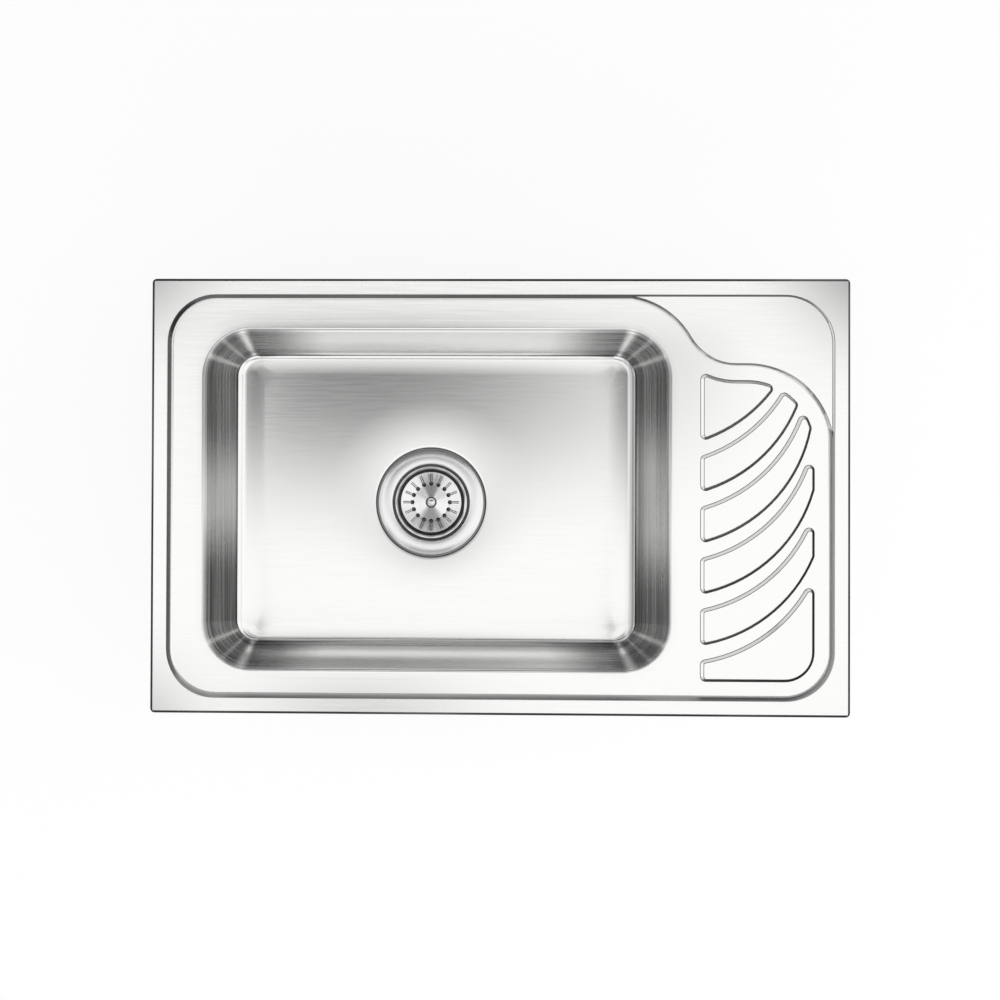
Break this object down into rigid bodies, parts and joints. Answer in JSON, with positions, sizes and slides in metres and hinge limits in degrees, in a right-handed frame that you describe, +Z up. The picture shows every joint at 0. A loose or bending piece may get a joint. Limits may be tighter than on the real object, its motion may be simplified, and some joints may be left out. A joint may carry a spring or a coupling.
{
  "type": "kitchen sink",
  "caption": "Pressed stainless inset kitchen sink: deep bowl with lift-out basket strainer waste, wave-ribbed drainer, S-edged tap ledge, and screw clips that clamp it to a worktop.",
  "frame": {"origin": "middle of the worktop cut-out, on the worktop's top surface, which the rim seal rests on", "axes": "+X to the right, towards the drainer; +Y to the back, where the tap ledge is; +Z up out of the bowl"},
  "size_m": [0.8, 0.5, 0.2975],
  "materials": {
    "polished_sheet_steel": "polished 18/10 stainless sheet with a very fine satin grain",
    "spun_steel": "spun and polished stainless",
    "polished_knob": "polished metal",
    "zinc_plated_steel": "bright zinc plating",
    "foam_seal": "closed-cell foam strip",
    "bitumen_pad": "matt bitumen sheet",
    "black_rubber": "moulded rubber",
    "fibre_washer": "pressed fibre",
    "nylon": "moulded nylon"
  },
  "bodies": {
    "sink": {"deck": "polished_sheet_steel", "bowl": "polished_sheet_steel", "rim_seal": "foam_seal", "front_clip_rail": "zinc_plated_steel", "back_clip_rail": "zinc_plated_steel", "left_clip_rail": "zinc_plated_steel", "right_clip_rail": "zinc_plated_steel", "clip_brackets": "zinc_plated_steel", "drainer_stiffener": "zinc_plated_steel", "wall_sound_pads": "bitumen_pad", "floor_sound_pads": "bitumen_pad", "waste_body": "spun_steel", "flange_gasket": "black_rubber", "under_gasket": "black_rubber", "friction_washer": "fibre_washer", "lock_nut": "nylon"},
    "basket": {"strainer_basket": "spun_steel", "basket_knob": "polished_knob", "basket_stem": "spun_steel", "stopper": "black_rubber", "stopper_washer": "spun_steel", "stem_catch": "nylon"},
    "front_left_claw": {"front_left_claw": "zinc_plated_steel"},
    "front_left_screw": {"front_left_screw": "zinc_plated_steel"},
    "front_right_claw": {"front_right_claw": "zinc_plated_steel"},
    "front_right_screw": {"front_right_screw": "zinc_plated_steel"},
    "back_left_claw": {"back_left_claw": "zinc_plated_steel"},
    "back_left_screw": {"back_left_screw": "zinc_plated_steel"},
    "back_right_claw": {"back_right_claw": "zinc_plated_steel"},
    "back_right_screw": {"back_right_screw": "zinc_plated_steel"},
    "left_claw": {"left_claw": "zinc_plated_steel"},
    "left_screw": {"left_screw": "zinc_plated_steel"},
    "right_claw": {"right_claw": "zinc_plated_steel"},
    "right_screw": {"right_screw": "zinc_plated_steel"}
  },
  "joints": [
    {"name": "basket_lift", "type": "slide", "parent": "sink", "child": "basket", "axis": [0, 0, 1], "range_m": [0, 0.3]},
    {"name": "front_left_claw_slide", "type": "slide", "parent": "sink", "child": "front_left_claw", "axis": [0, 0, 1], "range_m": [0, 0.018]},
    {"name": "front_left_screw_turn", "type": "hinge", "parent": "front_left_claw", "child": "front_left_screw", "pos_m": [-0.274, -0.233, -0.056], "axis": [0, 0, 1], "range_deg": [0, 8100]},
    {"name": "front_right_claw_slide", "type": "slide", "parent": "sink", "child": "front_right_claw", "axis": [0, 0, 1], "range_m": [0, 0.018]},
    {"name": "front_right_screw_turn", "type": "hinge", "parent": "front_right_claw", "child": "front_right_screw", "pos_m": [0.274, -0.233, -0.056], "axis": [0, 0, 1], "range_deg": [0, 8100]},
    {"name": "back_left_claw_slide", "type": "slide", "parent": "sink", "child": "back_left_claw", "axis": [0, 0, 1], "range_m": [0, 0.018]},
    {"name": "back_left_screw_turn", "type": "hinge", "parent": "back_left_claw", "child": "back_left_screw", "pos_m": [-0.274, 0.233, -0.056], "axis": [0, 0, 1], "range_deg": [0, 8100]},
    {"name": "back_right_claw_slide", "type": "slide", "parent": "sink", "child": "back_right_claw", "axis": [0, 0, 1], "range_m": [0, 0.018]},
    {"name": "back_right_screw_turn", "type": "hinge", "parent": "back_right_claw", "child": "back_right_screw", "pos_m": [0.04707, 0.233, -0.056], "axis": [0, 0, 1], "range_deg": [0, 8100]},
    {"name": "left_claw_slide", "type": "slide", "parent": "sink", "child": "left_claw", "axis": [0, 0, 1], "range_m": [0, 0.018]},
    {"name": "left_screw_turn", "type": "hinge", "parent": "left_claw", "child": "left_screw", "pos_m": [-0.383, -0.004, -0.056], "axis": [0, 0, 1], "range_deg": [0, 8100]},
    {"name": "right_claw_slide", "type": "slide", "parent": "sink", "child": "right_claw", "axis": [0, 0, 1], "range_m": [0, 0.018]},
    {"name": "right_screw_turn", "type": "hinge", "parent": "right_claw", "child": "right_screw", "pos_m": [0.383, -0.06575, -0.056], "axis": [0, 0, 1], "range_deg": [0, 8100]}
  ],
  "couplings": [
    {"joint": "front_left_screw_turn", "follows": "front_left_claw_slide", "rad_per_m": 7853.9},
    {"joint": "front_right_screw_turn", "follows": "front_right_claw_slide", "rad_per_m": 7853.9},
    {"joint": "back_left_screw_turn", "follows": "back_left_claw_slide", "rad_per_m": 7853.9},
    {"joint": "back_right_screw_turn", "follows": "back_right_claw_slide", "rad_per_m": 7853.9},
    {"joint": "left_screw_turn", "follows": "left_claw_slide", "rad_per_m": 7853.9},
    {"joint": "right_screw_turn", "follows": "right_claw_slide", "rad_per_m": 7853.9}
  ]
}
